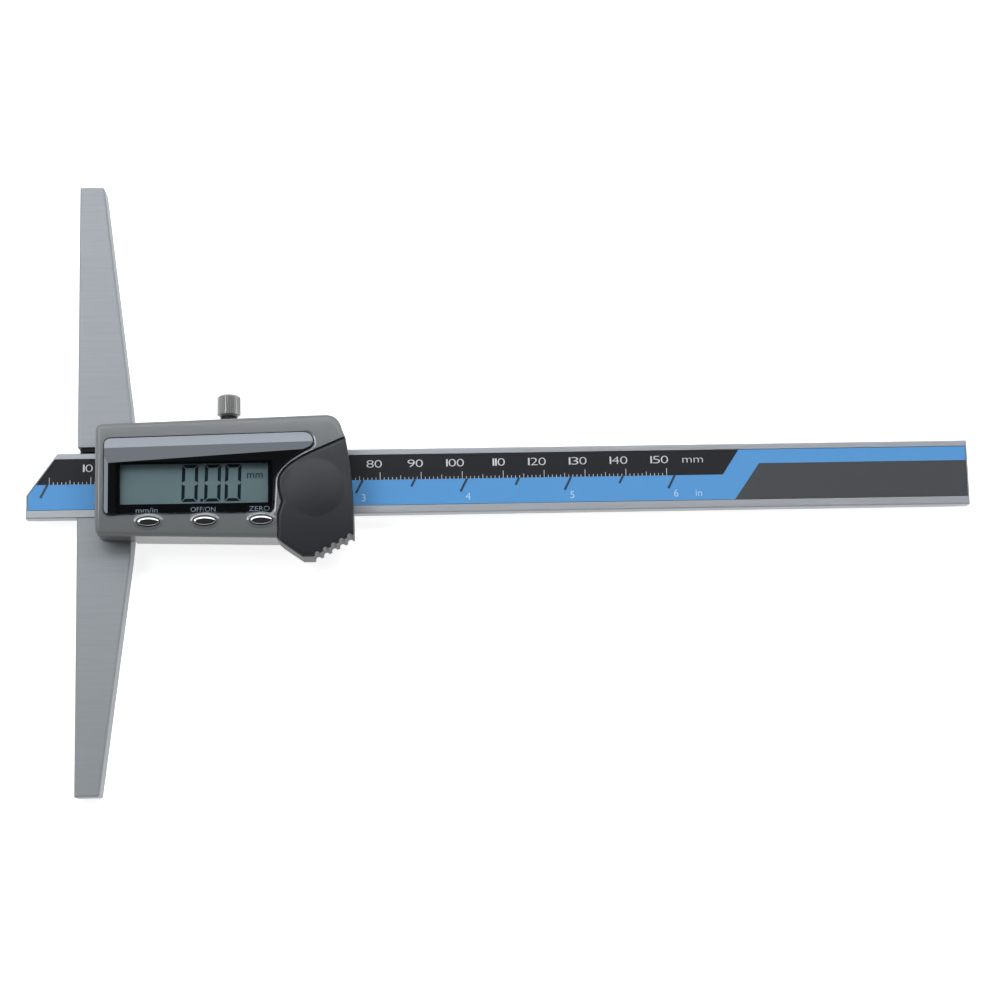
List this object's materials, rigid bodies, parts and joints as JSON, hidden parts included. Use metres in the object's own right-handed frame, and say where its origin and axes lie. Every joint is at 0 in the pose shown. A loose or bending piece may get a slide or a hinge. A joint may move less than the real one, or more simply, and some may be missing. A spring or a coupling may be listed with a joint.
{
  "type": "digital depth gauge",
  "caption": "Digital depth gauge: tapered steel crosspiece with a sliding scaled beam, display head with push buttons, knurled lock screw and slide-off battery cover.",
  "frame": {"origin": "centre of the crosspiece's measuring face on the beam's centreline, in the middle of the web's thickness behind the beam", "axes": "+X along the beam towards its tail, so -X is the way the beam reaches into a depth; +Y along the crosspiece towards the lock screw; +Z out of the display"},
  "size_m": [0.23, 0.15, 0.016],
  "materials": {
    "beam_steel": "brushed along the beam",
    "scale_laminate": "glass fibre laminate",
    "label_film": "satin printed film in blue and black",
    "ground_steel": "ground",
    "frame_steel": "ground",
    "screw_steel": "zinc plated",
    "blackened_steel": "blackened",
    "knob_steel": "knurled, with a dark neck",
    "board_laminate": "solder mask",
    "chip_resin": "moulded resin",
    "grey_rubber": "moulded",
    "display_glass": "reflective display glass",
    "frame_plastic": "moulded",
    "housing_plastic": "fine satin grain",
    "window_acrylic": "clear and polished",
    "mask_ink": "printed black",
    "button_chrome": "polished",
    "cell_steel": "nickel plated",
    "contact_brass": "spring sheet",
    "cover_plastic": "fine matte grain"
  },
  "bodies": {
    "head": {"crosspiece": "ground_steel", "slider_frame": "frame_steel", "crosspiece_screw_top": "screw_steel", "crosspiece_screw_low": "screw_steel", "gib_screw_left": "blackened_steel", "gib_screw_right": "blackened_steel", "circuit_board": "board_laminate", "controller_chip": "chip_resin", "button_membrane": "grey_rubber", "zebra_strip_upper": "grey_rubber", "zebra_strip_lower": "grey_rubber", "lcd_panel": "display_glass", "lcd_frame": "frame_plastic", "housing": "housing_plastic", "housing_screw_top_left": "screw_steel", "housing_screw_top_right": "screw_steel", "housing_screw_low_left": "screw_steel", "housing_screw_low_right": "screw_steel", "window": "window_acrylic", "display_mask": "mask_ink", "battery": "cell_steel", "battery_contact_negative": "contact_brass", "battery_contact_positive": "contact_brass"},
    "sliding_beam": {"beam": "beam_steel", "scale_strip": "scale_laminate", "scale_label": "label_film"},
    "gib": {"gib": "blackened_steel"},
    "lock_screw": {"lock_screw": "knob_steel"},
    "button_units": {"button_units": "button_chrome"},
    "button_power": {"button_power": "button_chrome"},
    "button_zero": {"button_zero": "button_chrome"},
    "battery_cover": {"battery_cover": "cover_plastic"}
  },
  "joints": [
    {"name": "beam_slide", "type": "slide", "parent": "head", "child": "sliding_beam", "axis": [-1, 0, 0], "range_m": [-0.0124, 0.1376]},
    {"name": "gib_slide", "type": "slide", "parent": "head", "child": "gib", "axis": [0, -1, 0], "range_m": [0, 0.00025]},
    {"name": "lock_screw_turn", "type": "hinge", "parent": "head", "child": "lock_screw", "pos_m": [0.0364, 0.018, 0.0032], "axis": [0, -1, 0], "range_deg": [0, 180]},
    {"name": "button_units_press", "type": "slide", "parent": "head", "child": "button_units", "axis": [0, 0, -1], "range_m": [0, 0.0004], "stiffness_N_per_m": 1000},
    {"name": "button_power_press", "type": "slide", "parent": "head", "child": "button_power", "axis": [0, 0, -1], "range_m": [0, 0.0004], "stiffness_N_per_m": 1000},
    {"name": "button_zero_press", "type": "slide", "parent": "head", "child": "button_zero", "axis": [0, 0, -1], "range_m": [0, 0.0004], "stiffness_N_per_m": 1000},
    {"name": "battery_cover_slide", "type": "slide", "parent": "head", "child": "battery_cover", "axis": [1, 0, 0], "range_m": [0, 0.024]}
  ]
}
